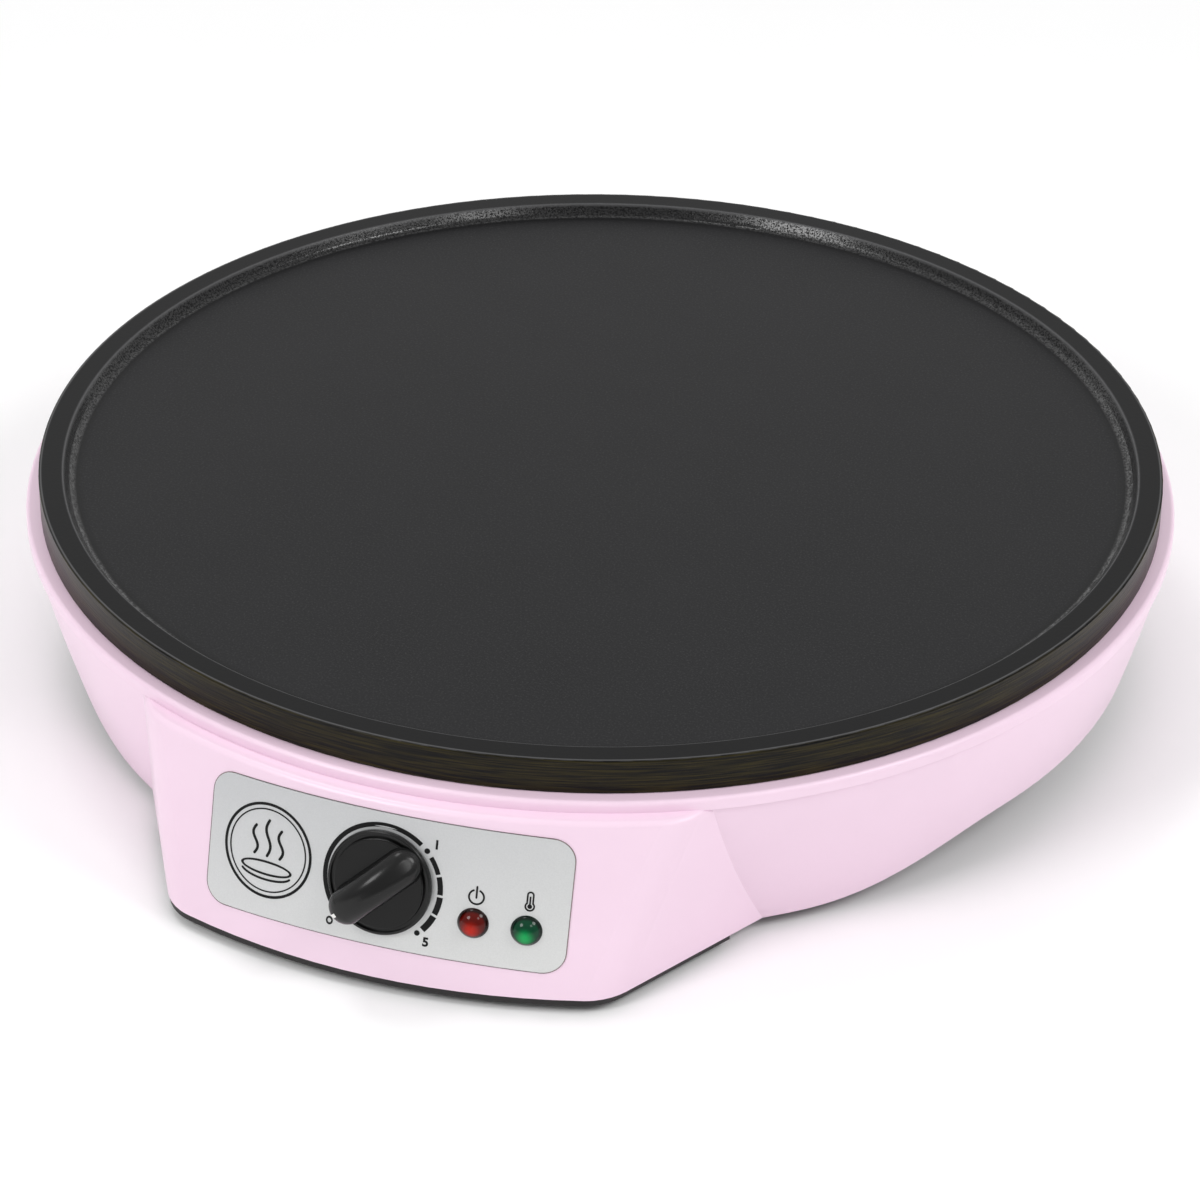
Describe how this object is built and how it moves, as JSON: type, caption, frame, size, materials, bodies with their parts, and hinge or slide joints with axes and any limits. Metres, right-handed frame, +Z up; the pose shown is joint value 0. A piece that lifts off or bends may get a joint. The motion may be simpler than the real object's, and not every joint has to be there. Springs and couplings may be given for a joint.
{
  "type": "electric crepe maker",
  "caption": "Countertop crepe maker: a round cast baking plate with a shallow rim on a skirted housing, its leaning control box carrying a thermostat knob and pilot lamps.",
  "frame": {"origin": "bottom centre of the whole appliance's box: the feet's soles are at z = 0, and X and Y are halfway between its outermost points with the knob at 0", "axes": "+Z up; the control box's face looks towards -Y; +X is on the right-hand side of a person who faces the controls"},
  "size_m": [0.3076, 0.3292, 0.0605],
  "materials": {
    "pink_housing": "moulded, light lilac pink, satin gloss",
    "nonstick_plate": "cast, dark non-stick coating, satin",
    "black_plastic": "moulded, fine texture",
    "knob_black": "moulded, soft gloss",
    "silver_panel": "silver lacquer, printed",
    "red_lens": "clear red, polished",
    "green_lens": "clear green, polished",
    "foot_rubber": "moulded, matte",
    "neon_glass": "clear",
    "sheathed_steel": "heat-darkened",
    "plated_steel": "zinc plated",
    "bright_sheet": "bright rolled sheet",
    "white_ceramic": "unglazed",
    "copper": "bare drawn copper",
    "thermostat_case": "moulded phenolic",
    "thermostat_metal": "turned and stamped",
    "shaft_steel": "ground",
    "lead_brown": "silicone sleeve",
    "lead_blue": "silicone sleeve",
    "lead_yellow_green": "silicone sleeve",
    "lead_white": "silicone sleeve"
  },
  "bodies": {
    "base": {"housing": "pink_housing", "baking_plate": "nonstick_plate", "bottom_cover": "black_plastic", "cord_bush": "black_plastic", "lamp_holders": "black_plastic", "terminal_block": "black_plastic", "control_fascia": "silver_panel", "red_lens": "red_lens", "green_lens": "green_lens", "front_feet": "foot_rubber", "rear_feet": "foot_rubber", "neon_lamps": "neon_glass", "heating_element": "sheathed_steel", "element_tabs": "plated_steel", "element_saddles": "plated_steel", "element_saddle_screws": "plated_steel", "fuse_saddle": "plated_steel", "fuse_saddle_screws": "plated_steel", "bulb_saddle": "plated_steel", "bulb_saddle_screws": "plated_steel", "spacer_sleeves": "plated_steel", "plate_screws": "plated_steel", "cover_screws": "plated_steel", "terminal_block_screw": "plated_steel", "earth_tag": "plated_steel", "earth_screw": "plated_steel", "heat_reflector": "bright_sheet", "element_beads": "white_ceramic", "thermal_fuse": "white_ceramic", "sensor_bulb": "copper", "capillary_tube": "copper", "thermostat": "thermostat_case", "thermostat_tabs": "thermostat_metal", "thermostat_nut": "thermostat_metal", "lead_live": "lead_brown", "lead_switched": "lead_brown", "lead_neutral_supply": "lead_blue", "lead_neutral_return": "lead_blue", "lead_earth": "lead_yellow_green", "lamp_leads": "lead_white"},
    "knob": {"control_knob": "knob_black", "thermostat_shaft": "shaft_steel"}
  },
  "joints": [
    {"name": "knob_turn", "type": "hinge", "parent": "base", "child": "knob", "pos_m": [0.0006, -0.15363, 0.02829], "axis": [-0.0035, 0.9641, -0.2656], "range_deg": [0, 275]}
  ]
}
